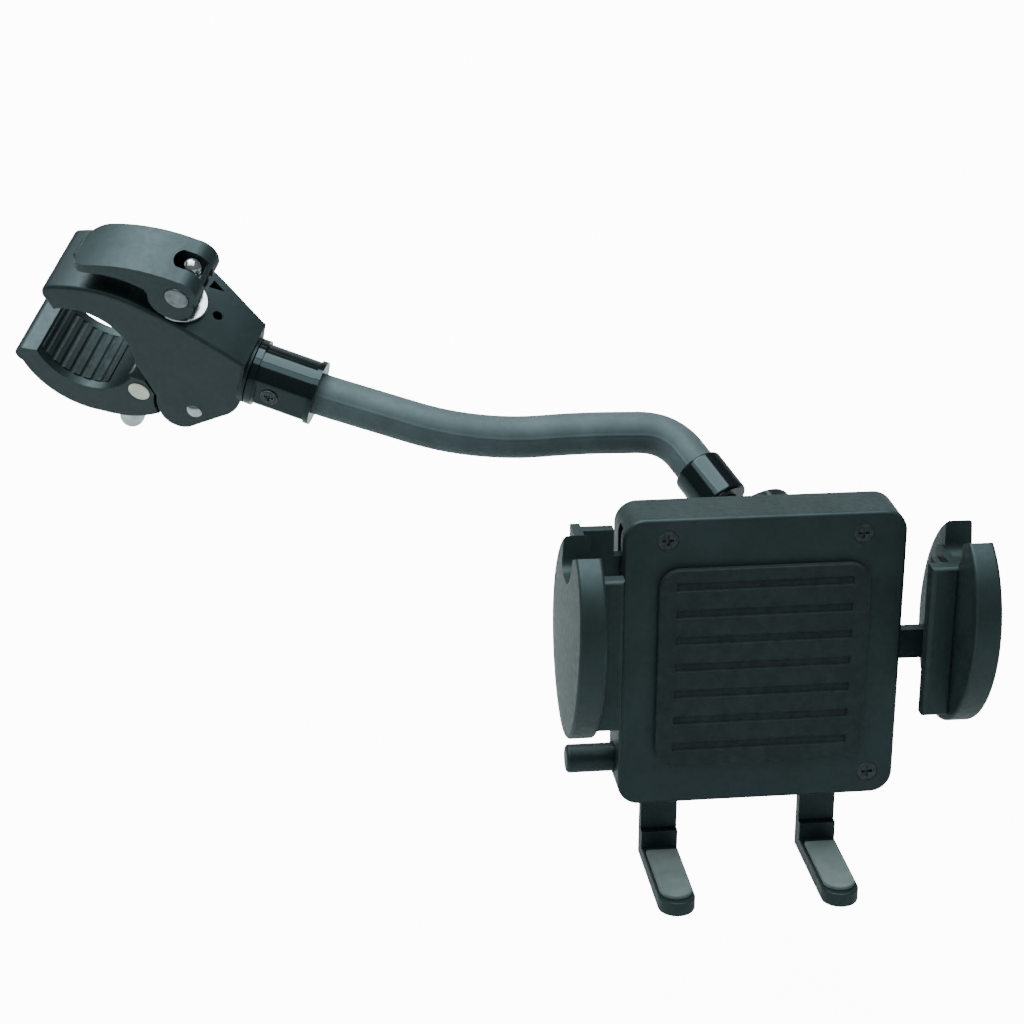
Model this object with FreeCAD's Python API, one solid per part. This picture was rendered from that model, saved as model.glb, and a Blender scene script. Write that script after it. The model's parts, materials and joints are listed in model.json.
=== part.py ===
"""Phone mount for a handlebar: quick-release bar clamp, swivel collar, gooseneck arm, phone holder.

Frame: millimetres, origin at the centre of the bar bore, +X from the clamp towards the holder, -Y the way
the held phone faces, +Z up along the phone. The clamp is drawn in a frame of its own (x along the arm's
root, y along the bar, z towards the quick-release lever), and the holder in a frame centred on the phone.
"""
import os

import FreeCAD
import Part
from math import cos, degrees, hypot, pi, radians, sin, tan

V = FreeCAD.Vector

# ---- clamp -------------------------------------------------------------------------------------------
ARM_DIR = V(0.919, -0.257, -0.298)      # the collar's axis, away from the bar
BAR_DIR = V(0.376, 0.797, 0.472)        # the bar's axis
BAR_R = 12.7                            # radius of the bar that the rubber pads grip
JAW_R = 13.0                            # bore of the hard jaws, just clear of the bar
PAD_SEAT_R = 14.3                       # bottom of the grooves that hold the pads
FRONT_Y = -8.0                          # flat front face of the jaws
BACK_Y = 12.0                           # back face of the jaws
NOSE_X = 39.6                           # end face of the upper jaw, where the collar turns
MID_Y = -0.5                            # middle plane of bolt, lever, hinge tongue and collar
COLLAR_Z = 5.0                          # height of the collar's axis above the bore centre
HINGE = V(29.0, 0, -8.1)                # hinge pin of the lower jaw
LOBE_R = 10.0                           # knuckle of the upper jaw round the hinge pin
HINGE_PIN_R = 2.0
TONGUE_HALF = 4.2                       # half width of the lower jaw's hinge tongue
TRUNNION = V(14.9, MID_Y, -7.8)         # cross-dowel of the lower jaw that the bolt pulls on
BOLT_TILT = 9.9                         # lean of the tension bolt towards the arm, degrees
BOLT_R = 2.4
WASHER_UP = 28.6                        # from the cross-dowel to the washer's seat, along the bolt
WASHER_T = 1.0
WASHER_R = 6.9
CAM_UP = 7.8                            # from the washer's top to the lever's pivot
LEVER_SWING = 95.0                      # closed to open, degrees
BOLT_DROP = 2.5                         # how far opening the lever lets the bolt down
DOWEL_R = 4.0                           # middle of the cross-dowel
DOWEL_END_R = 2.7
BARREL_R = 3.0                          # pivot barrel of the lever
LEVER_HALF = 7.2                        # half width of the lever

# ---- arm ---------------------------------------------------------------------------------------------
COLLAR_R = 7.3
COLLAR_LEN = 17.0
SPIGOT_R = 4.6                          # spigot of the upper jaw that the collar turns on
NECK_R = 5.0                            # gooseneck, over its rubber sleeve
NECK_GAP = 0.35                         # clearance in the gooseneck's two bending places
NECK_BEND_A = V(81.3, -28.0, -20.1)     # first place where the gooseneck bends
NECK_SAG = V(97.3, -27.7, -22.5)        # corner of the shallow sag between them
NECK_BEND_B = V(113.3, -27.5, -21.8)    # second one
NECK_CORNER = V(135.3, -27.0, -22.5)    # where the gooseneck turns down to the ball
NECK_TURN = 14.0                        # length of that turn before and after its corner
BALL_R = 7.5
STUD_R = 3.2

# ---- holder, measured from the centre of the phone it holds --------------------------------------------
PHONE = V(147.7, -87.0, -27.5)
PHONE_W, PHONE_T, PHONE_H = 73.4, 8.1, 159.5
BALL = V(4.0, 34.0, -14.0)              # centre of the ball joint
CASE_W, CASE_TOP, CASE_BOTTOM = 64.0, 3.5, -66.0
CASE_FRONT, CASE_SPLIT, CASE_BACK = 6.0, 8.0, 20.0
WALL = 2.0
ARM_Y0, ARM_Y1 = 9.6, 12.6              # the jaw arms' layer inside the case
PINION_Z, PINION_R, PINION_TEETH = -20.0, 6.0, 12
ARM_H = 7.0
ARM_SHOULDER_Z = 0.2                    # top of the left arm's shoulder
WEB_TOP = 2.4                           # top of the web that joins a disc to its arm
OVAL_Y, OVAL_Z = -1.6, -20.3            # middle of a jaw's oval grip disc
OVAL_LONG, OVAL_SHORT = 25.9, 19.4      # its half axes
OVAL_LEAN = 27.0                        # its long axis leans forward at the top, degrees
DISC_IN, DISC_RIM, DISC_CROWN = 39.7, 45.3, 46.4
LIP_IN = 33.75                          # free edge of the lip
LIP_LOW, LIP_HIGH = -40.4, -4.8         # the lip over the phone's edge
NOTCH_Y, NOTCH_Z = 3.2, -6.2            # foot of the web behind the disc's notched top
JAW_TRAVEL_IN, JAW_TRAVEL_OUT = 7.0, 8.0
FOOT_X, FOOT_W = {-1: -20.7, 1: 16.9}, 8.5
FOOT_Y0, FOOT_Y1 = 14.6, 17.4           # the foot rods' layer inside the case
FOOT_REST_Z = -80.0                     # face that the phone stands on
FOOT_PAD_T = 1.2                        # rubber pad on each foot
BUTTON_Y, BUTTON_Z, BUTTON_R = 14.3, -57.6, 3.3
BUTTON_END = -43.0
PAWL = V(2.0, 0, -44.0)                 # pivot of the latch pawl
POSTS = [(-22.0, -1.5), (22.0, -1.5), (-9.0, -49.0), (26.0, -60.5)]   # screw posts, x and z

parts = {}


# ---- helpers -------------------------------------------------------------------------------------------
def box(x0, y0, z0, x1, y1, z1):
    return Part.makeBox(x1 - x0, y1 - y0, z1 - z0, V(x0, y0, z0))


def rod(start, end, radius):
    return Part.makeCylinder(radius, (end - start).Length, start, end - start)


def ball(centre, radius, axis=V(0, 0, 1)):
    return Part.makeSphere(radius, centre, axis)


def outline(steps, y0, y1):
    """Solid between y0 and y1 over a closed outline in x and z.

    A step is the next corner (x, z), or (middle, end) for an arc through a middle point.
    """
    here = V(steps[0][0], y0, steps[0][1])
    first = here
    edges = []
    for step in steps[1:]:
        if isinstance(step[0], tuple):
            middle = V(step[0][0], y0, step[0][1])
            end = V(step[1][0], y0, step[1][1])
            edges.append(Part.Arc(here, middle, end).toShape())
        else:
            end = V(step[0], y0, step[1])
            edges.append(Part.makeLine(here, end))
        here = end
    if (here - first).Length > 1e-6:
        edges.append(Part.makeLine(here, first))
    return Part.Face(Part.Wire(edges)).extrude(V(0, y1 - y0, 0))


def polygon(points, height):
    """Solid over a flat polygon of 3-D points."""
    return Part.Face(Part.makePolygon(points + points[:1])).extrude(height)


def rounded_box(x0, y0, z0, x1, y1, z1, radius, axis):
    """Box with the four edges along one axis rounded."""
    solid = box(x0, y0, z0, x1, y1, z1)
    edges = []
    for edge in solid.Edges:
        direction = (edge.Vertexes[1].Point - edge.Vertexes[0].Point).normalize()
        if abs(direction.dot(axis)) > 0.9:
            edges.append(edge)
    return solid.makeFillet(radius, edges)


def soften(solid, radius, keep):
    """Round the edges that keep() picks, or leave the solid as it is where that can't be built."""
    edges = [e for e in solid.Edges if keep(e)]
    try:
        rounded = solid.makeFillet(radius, edges)
    except Exception:
        return solid
    return rounded if rounded.isValid() and rounded.Volume > 0 else solid


def on_face(value, axis):
    """Picks the edges that lie in one plane across an axis."""
    def keep(edge):
        box_ = edge.BoundBox
        low = (box_.XMin, box_.YMin, box_.ZMin)[axis]
        high = (box_.XMax, box_.YMax, box_.ZMax)[axis]
        return abs(low - value) < 1e-4 and abs(high - value) < 1e-4
    return keep


def at_angle(radius, angle, centre=V(0, 0, 0)):
    """Point (x, z) at an angle in degrees round a centre, from +x towards +z."""
    return (centre.x + radius * cos(radians(angle)), centre.z + radius * sin(radians(angle)))


def ring_sector(r0, r1, a0, a1, y0, y1, centre=V(0, 0, 0)):
    """Sector of a ring about the y axis, from angle a0 to a1."""
    mid = (a0 + a1) / 2
    steps = [at_angle(r0, a0, centre), at_angle(r1, a0, centre),
             (at_angle(r1, mid, centre), at_angle(r1, a1, centre)),
             at_angle(r0, a1, centre),
             (at_angle(r0, mid, centre), at_angle(r0, a0, centre))]
    return outline(steps, y0, y1)


def cross_recess(centre, axis, side, size, depth):
    """Cross-shaped recess cut into a screw head."""
    other = axis.cross(side)
    bars = []
    for along, across in ((side, other), (other, side)):
        a = centre + along * size + across * (size / 4)
        b = centre - along * size + across * (size / 4)
        c = centre - along * size - across * (size / 4)
        d = centre + along * size - across * (size / 4)
        bars.append(polygon([a, b, c, d], axis * (-depth)))
    return bars[0].fuse(bars[1])


# ---- clamp frame ---------------------------------------------------------------------------------------
CLAMP = FreeCAD.Placement(V(0, 0, 0), FreeCAD.Rotation(ARM_DIR, BAR_DIR, ARM_DIR.cross(BAR_DIR), "YXZ"))
BOLT_DIR = V(sin(radians(BOLT_TILT)), 0, cos(radians(BOLT_TILT)))
BOLT_SIDE = V(cos(radians(BOLT_TILT)), 0, -sin(radians(BOLT_TILT)))
WASHER_AT = TRUNNION + BOLT_DIR * WASHER_UP
PIVOT = WASHER_AT + BOLT_DIR * (WASHER_T + CAM_UP)
COLLAR_AT = V(NOSE_X, MID_Y, COLLAR_Z)
CHEEK_IN = TONGUE_HALF + 0.3
JAW_SWING = degrees(BOLT_DROP / ((HINGE.x - TRUNNION.x) * cos(radians(BOLT_TILT))))


def clamp_part(name, solid):
    """Keep a copy of the solid, moved from the clamp frame to the frame of the whole mount."""
    placed = solid.copy()
    placed.Placement = CLAMP.multiply(placed.Placement)
    parts[name] = placed


def across_jaw(centre, y0, y1, radius):
    """Round bar along the bar's direction, from y0 to y1."""
    return rod(V(centre.x, y0, centre.z), V(centre.x, y1, centre.z), radius)


def lever_point(x, z):
    """From the lever's own frame, whose z axis is the bolt, to the clamp frame."""
    point = PIVOT + BOLT_SIDE * x + BOLT_DIR * z
    return (point.x, point.z)


def make_clamp_body():
    """Upper jaw: arched top, hook over the bar, two cheeks round the hinge, spigot for the collar."""
    steps = [(NOSE_X, 14.2),
             ((22.0, 20.2), (8.0, 22.5)),
             ((-1.5, 21.2), (-9.6, 17.8)),
             ((-11.2, 15.4), (-9.9, 12.8)),
             at_angle(JAW_R, 128),
             (at_angle(JAW_R, 68), at_angle(JAW_R, 9)),
             (16.6, -3.0),
             at_angle(LOBE_R, 173, HINGE),
             (at_angle(LOBE_R, 192, HINGE), at_angle(LOBE_R, 213, HINGE)),
             ((24.2, -16.2), (28.6, -14.9)),
             (36.2, -6.6),
             ((38.6, -3.4), (NOSE_X, 0.4))]
    body = outline(steps, FRONT_Y, BACK_Y)
    taper = polygon([V(24.1, BACK_Y + 0.1, -30), V(33.7, 8.4, -30), V(38.7, 6.7, -30), V(60, 6.7, -30),
                     V(60, BACK_Y + 10, -30), V(24.1, BACK_Y + 10, -30)], V(0, 0, 80))
    body = body.cut(taper)
    body = soften(body, 0.9, lambda e: on_face(FRONT_Y, 1)(e) and e.BoundBox.ZMax > 12)
    spigot = rod(COLLAR_AT - V(4, 0, 0), COLLAR_AT + V(11.5, 0, 0), SPIGOT_R)
    shoulder = rod(COLLAR_AT - V(1, 0, 0), COLLAR_AT + V(0.6, 0, 0), 8.0)
    body = body.fuse([spigot, shoulder])
    groove = rod(COLLAR_AT + V(5.0, 0, 0), COLLAR_AT + V(8.4, 0, 0), SPIGOT_R + 1)
    groove = groove.cut(rod(COLLAR_AT + V(4, 0, 0), COLLAR_AT + V(9, 0, 0), SPIGOT_R - 1.0))
    slot = box(12, MID_Y - CHEEK_IN, -30, 36.6, MID_Y + CHEEK_IN, 1.0)
    seat = rod(WASHER_AT, WASHER_AT + BOLT_DIR * 20, WASHER_R + 0.3)
    shaft_hole = rod(TRUNNION, WASHER_AT + BOLT_DIR, BOLT_R + 0.6)
    pin_hole = rod(HINGE + V(0, -20, 0), HINGE + V(0, 20, 0), HINGE_PIN_R)
    pad_groove = ring_sector(5, PAD_SEAT_R, 24, 119, FRONT_Y + 2.2, BACK_Y - 2.2)
    vent = rod(V(28.6, 0.8, 12), V(29.6, 0.8, 22), 1.2)
    slit = polygon([V(24.6, 7.0, 15), V(28.2, 8.2, 15), V(25.0, 9.6, 15)], V(0, 0, 10))
    for tool in (groove, slot, seat, shaft_hole, pin_hole, pad_groove, vent, slit):
        body = body.cut(tool)
    clamp_part("clamp_body", body.Solids[0])


def make_clamp_pads():
    """Ribbed rubber pads let into both jaws."""
    for name, a0, a1 in (("upper_jaw_pad", 25, 118), ("lower_jaw_pad", 212, 299)):
        pad = ring_sector(BAR_R, PAD_SEAT_R, a0, a1, FRONT_Y + 2.3, BACK_Y - 2.3)
        count = 7
        for i in range(count):
            angle = a0 + (a1 - a0) * (i + 0.5) / count
            x, z = at_angle(BAR_R - 0.2, angle)
            pad = pad.cut(rod(V(x, FRONT_Y, z), V(x, BACK_Y, z), 0.7))
        clamp_part(name, pad)


def make_lower_jaw():
    """Lower jaw: hook under the bar and a tongue to the hinge between the upper jaw's cheeks."""
    clear = LOBE_R + 0.35
    hook = [(12.5, -3.5), (16.0, -3.5),
            at_angle(clear, 174, HINGE),
            (at_angle(clear, 190, HINGE), at_angle(clear, 214, HINGE)),
            ((13.5, -18.6), (6.0, -20.6)),
            ((-6.5, -19.6), (-15.6, -11.4)),
            ((-16.8, -8.6), (-14.6, -6.9)),
            at_angle(JAW_R, 208),
            (at_angle(JAW_R, 275), at_angle(JAW_R, 344.3))]
    jaw = outline(hook, FRONT_Y, BACK_Y)
    jaw = soften(jaw, 0.8, lambda e: on_face(FRONT_Y, 1)(e) and e.BoundBox.ZMin < -14)
    tongue = [(16.0, -3.6), (24.0, -2.4),
              at_angle(5.8, 100, HINGE),
              (at_angle(5.8, 0, HINGE), at_angle(5.8, 262, HINGE)),
              (19.0, -15.4), (16.0, -15.0)]
    jaw = jaw.fuse(outline(tongue, MID_Y - TONGUE_HALF, MID_Y + TONGUE_HALF))
    top = TRUNNION + BOLT_DIR * 12
    cuts = [rod(HINGE + V(0, -20, 0), HINGE + V(0, 20, 0), HINGE_PIN_R + 0.05),
            across_jaw(TRUNNION, MID_Y - TONGUE_HALF, MID_Y + TONGUE_HALF, DOWEL_R),
            across_jaw(TRUNNION, FRONT_Y - 1, BACK_Y - 3, DOWEL_END_R),
            rod(TRUNNION, top, BOLT_R + 1.1),
            ring_sector(5, PAD_SEAT_R, 211, 300, FRONT_Y + 2.2, BACK_Y - 2.2)]
    for lean in (0, 0.5, 1):
        swung = FreeCAD.Rotation(V(0, 1, 0), lean * JAW_SWING).multVec(BOLT_DIR)
        cuts.append(rod(TRUNNION - swung * 30, TRUNNION, 3.8))
    for tool in cuts:
        jaw = jaw.cut(tool)
    clamp_part("lower_jaw", jaw.Solids[0])


def make_clamp_metal():
    """Hinge pin, cross-dowel, tension bolt, its nut, washer and the lever's barrel."""
    back = 10.1
    pin = rod(V(HINGE.x, FRONT_Y, HINGE.z), V(HINGE.x, back, HINGE.z), HINGE_PIN_R)
    for y, sign in ((FRONT_Y, -1), (back, 1)):
        dome = ball(V(HINGE.x, y - sign * 1.6, HINGE.z), hypot(1.6, HINGE_PIN_R))
        beyond = V(HINGE.x, y, HINGE.z)
        pin = pin.fuse(dome.common(rod(beyond, beyond + V(0, sign * 5, 0), 5)))
    clamp_part("hinge_pin", pin)

    dowel = across_jaw(TRUNNION, MID_Y - TONGUE_HALF, MID_Y + TONGUE_HALF, DOWEL_R)
    dowel = dowel.fuse(across_jaw(TRUNNION, FRONT_Y - 0.2, BACK_Y - 3, DOWEL_END_R))
    dowel = dowel.cut(rod(TRUNNION - BOLT_DIR * 9, TRUNNION + BOLT_DIR * 9, BOLT_R + 1.0))
    clamp_part("cross_dowel", dowel)

    washer = rod(WASHER_AT, WASHER_AT + BOLT_DIR * WASHER_T, WASHER_R)
    washer = washer.cut(rod(WASHER_AT - BOLT_DIR, WASHER_AT + BOLT_DIR * 3, BOLT_R + 0.6))
    clamp_part("clamp_washer", soften(washer, 0.25, lambda e: e.Length > 40))

    low = TRUNNION - BOLT_DIR * 12
    high = PIVOT + BOLT_DIR * 3.6
    bolt = rod(low, high, BOLT_R).fuse(ball(high, BOLT_R))
    clamp_part("tension_bolt", bolt)
    nut_top = TRUNNION - BOLT_DIR * 8.4
    nut_low = TRUNNION - BOLT_DIR * 19.8
    nut = rod(nut_low, nut_top, 3.1).fuse(ball(nut_low, 3.1))
    clamp_part("cap_nut", nut.cut(bolt))
    half = LEVER_HALF + 0.3
    barrel = across_jaw(PIVOT, MID_Y - half, MID_Y + half, BARREL_R).cut(bolt)
    barrel = soften(barrel, 0.5, lambda e: on_face(MID_Y - half, 1)(e) or on_face(MID_Y + half, 1)(e))
    clamp_part("lever_barrel", barrel)


def make_lever():
    """Quick-release lever: an arched thumb plate that ends in two cam ears round the barrel."""
    plate = [lever_point(-24.7, -8.4),
             (lever_point(-15.5, -3.2), lever_point(-7.6, -2.2)),
             lever_point(-5.2, -4.6),
             lever_point(0.0, 0.0),
             lever_point(4.9, 0.6),
             (lever_point(3.2, 4.4), lever_point(-1.5, 5.3)),
             (lever_point(-14.5, 1.3), lever_point(-25.4, -6.4)),
             (lever_point(-25.9, -7.9), lever_point(-24.7, -8.4))]
    y0, y1 = MID_Y - LEVER_HALF, MID_Y + LEVER_HALF
    lever = outline(plate, y0, y1)
    centre = lever_point(-1.0, -2.1)
    cam = rod(V(centre[0], y0, centre[1]), V(centre[0], y1, centre[1]), 5.6)
    lever = lever.fuse(cam).removeSplitter()
    tip = lever_point(-25.6, -6)
    corner = 4.5
    for side in (-1, 1):
        edge_y = MID_Y + side * LEVER_HALF
        block = box(tip[0] - 3, min(edge_y, edge_y - side * corner), tip[1] - 12,
                    tip[0] + corner, max(edge_y, edge_y - side * corner), tip[1] + 12)
        keep = rod(V(tip[0] + corner, edge_y - side * corner, tip[1] - 13),
                   V(tip[0] + corner, edge_y - side * corner, tip[1] + 13), corner)
        lever = lever.cut(block.cut(keep))
    lever = soften(lever, 0.7, lambda e: on_face(y0, 1)(e) or on_face(y1, 1)(e))
    swing_room = ball(V(PIVOT.x, MID_Y, PIVOT.z), 6.6).common(across_jaw(PIVOT, MID_Y - 2.8, MID_Y + 2.8, 8))
    bridge = ring_sector(4.9, 8.5, 40 - BOLT_TILT, 55 - BOLT_TILT, MID_Y - 4, MID_Y + 4, PIVOT)
    fork = ring_sector(4, 10, -125 - BOLT_TILT, 40 - BOLT_TILT, MID_Y - 2.8, MID_Y + 2.8, PIVOT)
    gap = swing_room.cut(bridge).fuse(fork)
    hole = across_jaw(PIVOT, y0 - 2, y1 + 2, BARREL_R + 0.06)
    lever = lever.cut(gap).cut(hole)
    clamp_part("cam_lever", max(lever.Solids, key=lambda s: s.Volume))


def make_collar():
    """Swivel collar: a tube with a flange at each end, a flat with a screw, and the arm's root in it."""
    start = COLLAR_AT + V(0.9, 0, 0)
    end = COLLAR_AT + V(COLLAR_LEN, 0, 0)
    collar = rod(start, end, COLLAR_R)
    flanges = [rod(start, start + V(1.6, 0, 0), 8.0), rod(end - V(1.3, 0, 0), end, COLLAR_R + 0.5)]
    collar = collar.fuse(flanges)
    collar = soften(collar, 0.35, lambda e: e.Length > 40)
    flat_dir = V(0, -cos(radians(5)), sin(radians(5)))
    flat_at = start + V(5.8, 0, 0) + flat_dir * (COLLAR_R - 0.8)
    side = V(1, 0, 0)
    up = flat_dir.cross(side)
    corners = [flat_at + side * a + up * b for a, b in ((-3.6, -4), (8.8, -4), (8.8, 4), (-3.6, 4))]
    collar = collar.cut(polygon(corners, flat_dir * 4))
    collar = collar.cut(rod(start - V(2, 0, 0), COLLAR_AT + V(11.8, 0, 0), SPIGOT_R + 0.06))
    collar = collar.cut(rod(COLLAR_AT + V(11.7, 0, 0), end + V(1, 0, 0), NECK_R + 0.06))
    head = rod(flat_at - flat_dir * 1.0, flat_at + flat_dir * 0.35, 2.1)
    shank = rod(flat_at - flat_dir * 2.2, flat_at - flat_dir * 0.9, 1.2)
    screw = head.fuse(shank).cut(cross_recess(flat_at + flat_dir * 0.36, flat_dir, side, 1.2, 0.6))
    clamp_part("arm_collar", collar.cut(head).cut(shank))
    clamp_part("collar_screw", screw)


# ---- gooseneck -----------------------------------------------------------------------------------------
NECK_START = CLAMP.multVec(COLLAR_AT + V(11.9, 0, 0))
NECK_OUT = CLAMP.multVec(COLLAR_AT + V(COLLAR_LEN + 2.0, 0, 0))
BALL_AT = PHONE + BALL
STUD_DIR = (NECK_CORNER - BALL_AT).normalize()


def bend(points, cut_back):
    """Wire through the points, each corner rounded by an arc tangent to both of its runs."""
    edges = []
    here = points[0]
    for before, corner, after in zip(points, points[1:], points[2:]):
        back = (before - corner).normalize()
        ahead = (after - corner).normalize()
        reach = min(cut_back, 0.48 * (before - corner).Length, 0.48 * (after - corner).Length)
        start, end = corner + back * reach, corner + ahead * reach
        half = back.getAngle(ahead) / 2
        bisector = (back + ahead).normalize()
        radius = reach * tan(half)
        middle = corner + bisector * (hypot(reach, radius) - radius)
        edges.append(Part.makeLine(here, start))
        edges.append(Part.Arc(start, middle, end).toShape())
        here = end
    edges.append(Part.makeLine(here, points[-1]))
    return Part.Wire(edges)


def tube(points, cut_back, radius):
    """Round bar along a rounded route."""
    path = bend(points, cut_back)
    direction = points[1] - points[0]
    section = Part.Wire([Part.makeCircle(radius, points[0], direction)])
    return path.makePipeShell([section], True, False)


def make_neck():
    """Gooseneck in three lengths, each round end turning in the next one's cup."""
    a, b = NECK_BEND_A, NECK_BEND_B
    root = tube([NECK_START, NECK_OUT, a], 12.0, NECK_R).fuse(ball(a, NECK_R))
    parts["neck_root"] = root
    mid = tube([a, NECK_SAG, b], 14.0, NECK_R).fuse(ball(b, NECK_R)).cut(ball(a, NECK_R + NECK_GAP))
    parts["neck_mid"] = max(mid.Solids, key=lambda s: s.Volume)
    ferrule_far = BALL_AT + STUD_DIR * 21.0
    tip = tube([b, NECK_CORNER, ferrule_far], NECK_TURN, NECK_R).cut(ball(b, NECK_R + NECK_GAP))
    parts["neck_tip"] = max(tip.Solids, key=lambda s: s.Volume)
    ferrule_near = BALL_AT + STUD_DIR * 12.5
    ferrule = rod(ferrule_near, ferrule_far + STUD_DIR * 3, NECK_R + 1.2)
    ferrule = soften(ferrule, 0.8, lambda e: e.Length > 30)
    ferrule = ferrule.cut(rod(ferrule_far, ferrule_far + STUD_DIR * 6, NECK_R))
    stud = ball(BALL_AT, BALL_R, STUD_DIR).fuse(rod(BALL_AT, ferrule_near + STUD_DIR * 5, STUD_R))
    ferrule = ferrule.cut(rod(BALL_AT, ferrule_near + STUD_DIR * 5, STUD_R))
    parts["end_ferrule"] = ferrule.cut(tip)
    parts["ball_stud"] = stud


def make_ball_joint():
    """Seat and socket round the ball, with a lock nut about the stud's rest direction."""
    cup, seat_out, seat_in, room = (ball(BALL_AT, BALL_R + more, STUD_DIR) for more in (3.9, 1.2, 0.1, 1.3))
    seat = seat_out.cut(seat_in)
    mouth = BALL_AT + STUD_DIR * 3.0
    away = rod(mouth, mouth + STUD_DIR * 40, 40)
    parts["ball_seat"] = seat.cut(rod(BALL_AT + STUD_DIR * 0.5, mouth + STUD_DIR * 40, 40))
    back_y = PHONE.y + CASE_BACK + 3.0
    foot = rod(V(BALL_AT.x, back_y, BALL_AT.z), V(BALL_AT.x, back_y + 3.0, BALL_AT.z), 14.0)
    foot = soften(foot, 0.8, lambda e: e.Length > 50)
    stem = rod(V(BALL_AT.x, back_y + 1, BALL_AT.z), BALL_AT, 8.5)
    socket = cup.fuse([foot, stem]).cut(room).cut(away)
    nut_low, nut_high = BALL_AT - STUD_DIR * 1.5, BALL_AT + STUD_DIR * 5.5
    nut_room = rod(nut_low - STUD_DIR * 0.3, nut_high, BALL_R + 7)
    nut_room = nut_room.cut(rod(nut_low - STUD_DIR * 2, nut_high, BALL_R + 2.6))
    parts["ball_socket"] = max(socket.cut(nut_room).Solids, key=lambda s: s.Volume)
    nut = rod(nut_low, nut_high, BALL_R + 5.5)
    nut = soften(nut, 0.8, lambda e: e.Length > 60)
    nut = nut.cut(rod(nut_low - STUD_DIR, mouth + STUD_DIR * 0.3, BALL_R + 2.9))
    nut = nut.cut(rod(mouth, nut_high + STUD_DIR, BALL_R - 0.1))
    across = STUD_DIR.cross(V(0, 0, 1)).normalize()
    for i in range(12):
        turn = FreeCAD.Rotation(STUD_DIR, 360 * i / 12)
        spoke = turn.multVec(across) * (BALL_R + 6.1)
        nut = nut.cut(rod(nut_low - STUD_DIR + spoke, nut_high + STUD_DIR + spoke, 1.1))
    parts["lock_nut"] = nut


# ---- holder --------------------------------------------------------------------------------------------
def holder_part(name, solid):
    solid.translate(PHONE)
    parts[name] = solid


def make_case():
    """Two-part case behind the phone, with slots for the jaw arms, the feet and the release button."""
    half = CASE_W / 2
    shell = rounded_box(-half, CASE_SPLIT, CASE_BOTTOM, half, CASE_BACK, CASE_TOP, 5, V(0, 1, 0))
    shell = soften(shell, 1.2, on_face(CASE_BACK, 1))
    inside = rounded_box(-half + WALL, CASE_SPLIT - 1, CASE_BOTTOM + WALL, half - WALL, CASE_BACK - WALL,
                         CASE_TOP - WALL, 1.5, V(0, 1, 0))
    shell = shell.cut(inside)
    tower = rod(V(0, CASE_SPLIT + 1, PINION_Z), V(0, CASE_BACK - 1, PINION_Z), 2.0)
    pivot = rod(V(PAWL.x, CASE_SPLIT + 1, PAWL.z), V(PAWL.x, CASE_BACK - 1, PAWL.z), 1.5)
    steps = [rod(V(0, ARM_Y1 + 0.4, PINION_Z), V(0, CASE_BACK - 1, PINION_Z), 3.4),
             rod(V(PAWL.x, ARM_Y1 + 0.4, PAWL.z), V(PAWL.x, CASE_BACK - 1, PAWL.z), 2.8)]
    bosses = [rod(V(x, CASE_SPLIT, z), V(x, CASE_BACK - 1, z), 2.8) for x, z in POSTS]
    shell = shell.fuse([tower, pivot] + steps + bosses)
    for x, z in POSTS:
        shell = shell.cut(rod(V(x, CASE_SPLIT - 1, z), V(x, CASE_BACK - 3, z), 1.2))
    slots = ((-1, arm_z(-1) - 1.5, ARM_SHOULDER_Z + 0.4), (1, arm_z(1) - 0.5, arm_z(1) + ARM_H + 1.5))
    for side, low, high in slots:
        shell = shell.cut(span(side, half - WALL - 1, half + 1, ARM_Y0 - 0.4, low, ARM_Y1 + 0.4, high))
    for side in (-1, 1):
        x = FOOT_X[side]
        shell = shell.cut(box(x - FOOT_W / 2 - 0.35, FOOT_Y0 - 0.35, CASE_BOTTOM - 1, x + FOOT_W / 2 + 0.35,
                              FOOT_Y1 + 0.25, CASE_BOTTOM + WALL + 1))
    through = V(-half - 1, BUTTON_Y, BUTTON_Z)
    shell = shell.cut(rod(through, through + V(WALL + 2, 0, 0), BUTTON_R + 0.3))
    holder_part("case_back", max(shell.Solids, key=lambda s: s.Volume))

    lid = rounded_box(-half, CASE_FRONT, CASE_BOTTOM, half, CASE_SPLIT, CASE_TOP, 5, V(0, 1, 0))
    lid = soften(lid, 0.8, on_face(CASE_FRONT, 1))
    for x, z in POSTS:
        lid = lid.cut(rod(V(x, CASE_FRONT - 1, z), V(x, CASE_SPLIT + 1, z), 1.4))
        lid = lid.cut(rod(V(x, CASE_FRONT - 1, z), V(x, CASE_FRONT + 1.1, z), 2.4))
    holder_part("case_front", lid)

    screws = []
    for x, z in POSTS:
        head = rod(V(x, CASE_FRONT + 0.1, z), V(x, CASE_FRONT + 1.1, z), 2.3)
        shank = rod(V(x, CASE_FRONT + 1.0, z), V(x, CASE_FRONT + 7.5, z), 1.2)
        recess = cross_recess(V(x, CASE_FRONT + 0.09, z), V(0, -1, 0), V(1, 0, 0), 1.3, 0.6)
        screws.append(head.fuse(shank).cut(recess))
    holder_part("case_screws", Part.makeCompound(screws))

    pad = rounded_box(-24, PHONE_T / 2 + 0.15, -56, 24, CASE_FRONT, -8, 5, V(0, 1, 0))
    for i in range(7):
        z = -52 + 6.5 * i
        pad = pad.cut(box(-20, PHONE_T / 2, z, 20, PHONE_T / 2 + 0.75, z + 2.0))
    holder_part("case_pad", pad)

    plate = rod(V(BALL.x, CASE_BACK, BALL.z), V(BALL.x, CASE_BACK + 2.6, BALL.z), 15.5)
    plate = soften(plate, 0.7, on_face(CASE_BACK + 2.6, 1))
    holder_part("swivel_plate", plate)


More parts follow.
